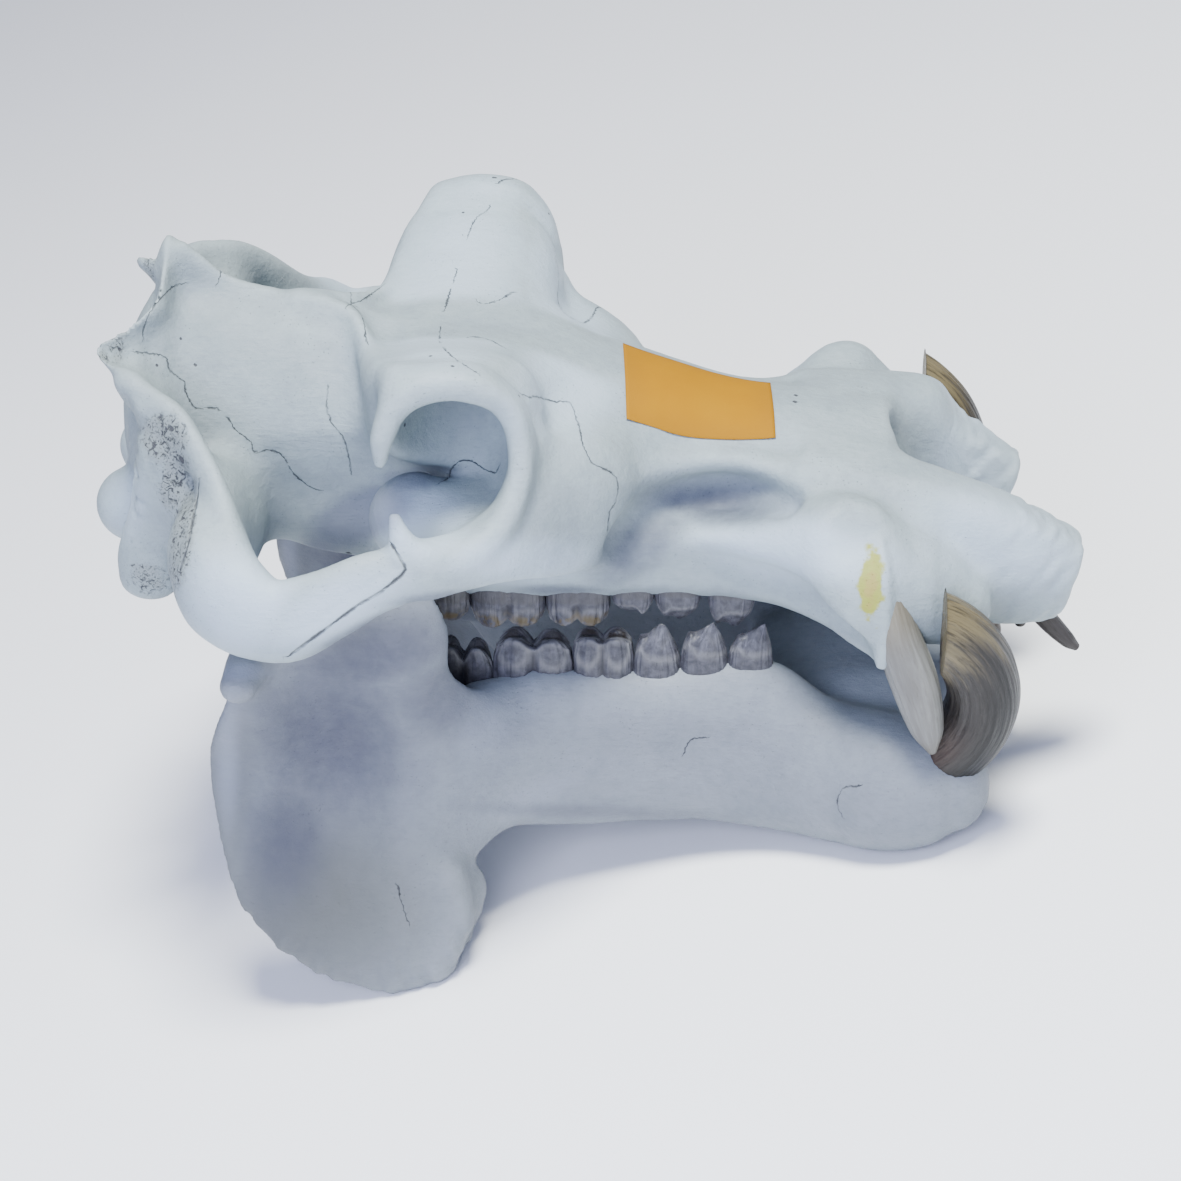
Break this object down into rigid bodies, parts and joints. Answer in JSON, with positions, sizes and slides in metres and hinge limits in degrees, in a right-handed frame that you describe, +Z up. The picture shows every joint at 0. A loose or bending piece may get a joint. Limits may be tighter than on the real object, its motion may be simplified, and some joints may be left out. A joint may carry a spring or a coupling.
{
  "type": "hippo skull",
  "caption": "Dry hippopotamus skull resting on its lower jaw, with cheek teeth, curved tusks and a blank paper label on the snout.",
  "frame": {"origin": "centre of the bounding box in X and Y, on the ground the jaw rests on", "axes": "+X towards the nose, +Y to the animal's left, +Z up; the skull is pitched nose down as it rests on its jaw"},
  "size_m": [0.6569, 0.4546, 0.5091],
  "materials": {
    "bone": "dry pale bone, matt",
    "cheek_tooth": "grey worn enamel, satin",
    "upper_canine": "pale ivory, satin",
    "tusk": "dark stained ridged ivory, satin",
    "incisor": "brown-grey ivory, satin",
    "label_paper": "plain orange paper, matt"
  },
  "bodies": {
    "root": {"cranium": "bone", "lower_canine_left": "tusk", "lower_canine_right": "tusk", "lower_incisor_1_left": "incisor", "lower_incisor_1_right": "incisor", "lower_incisor_2_left": "incisor", "lower_incisor_2_right": "incisor", "lower_molar_1_left": "cheek_tooth", "lower_molar_1_right": "cheek_tooth", "lower_molar_2_left": "cheek_tooth", "lower_molar_2_right": "cheek_tooth", "lower_molar_3_left": "cheek_tooth", "lower_molar_3_right": "cheek_tooth", "lower_premolar_2_left": "cheek_tooth", "lower_premolar_2_right": "cheek_tooth", "lower_premolar_3_left": "cheek_tooth", "lower_premolar_3_right": "cheek_tooth", "lower_premolar_4_left": "cheek_tooth", "lower_premolar_4_right": "cheek_tooth", "mandible": "bone", "paper_label": "label_paper", "upper_canine_left": "upper_canine", "upper_canine_right": "upper_canine", "upper_incisor_1_left": "incisor", "upper_incisor_1_right": "incisor", "upper_incisor_2_left": "incisor", "upper_incisor_2_right": "incisor", "upper_molar_1_left": "cheek_tooth", "upper_molar_1_right": "cheek_tooth", "upper_molar_2_left": "cheek_tooth", "upper_molar_2_right": "cheek_tooth", "upper_molar_3_left": "cheek_tooth", "upper_molar_3_right": "cheek_tooth", "upper_premolar_2_left": "cheek_tooth", "upper_premolar_2_right": "cheek_tooth", "upper_premolar_3_left": "cheek_tooth", "upper_premolar_3_right": "cheek_tooth", "upper_premolar_4_left": "cheek_tooth", "upper_premolar_4_right": "cheek_tooth"}
  },
  "joints": []
}
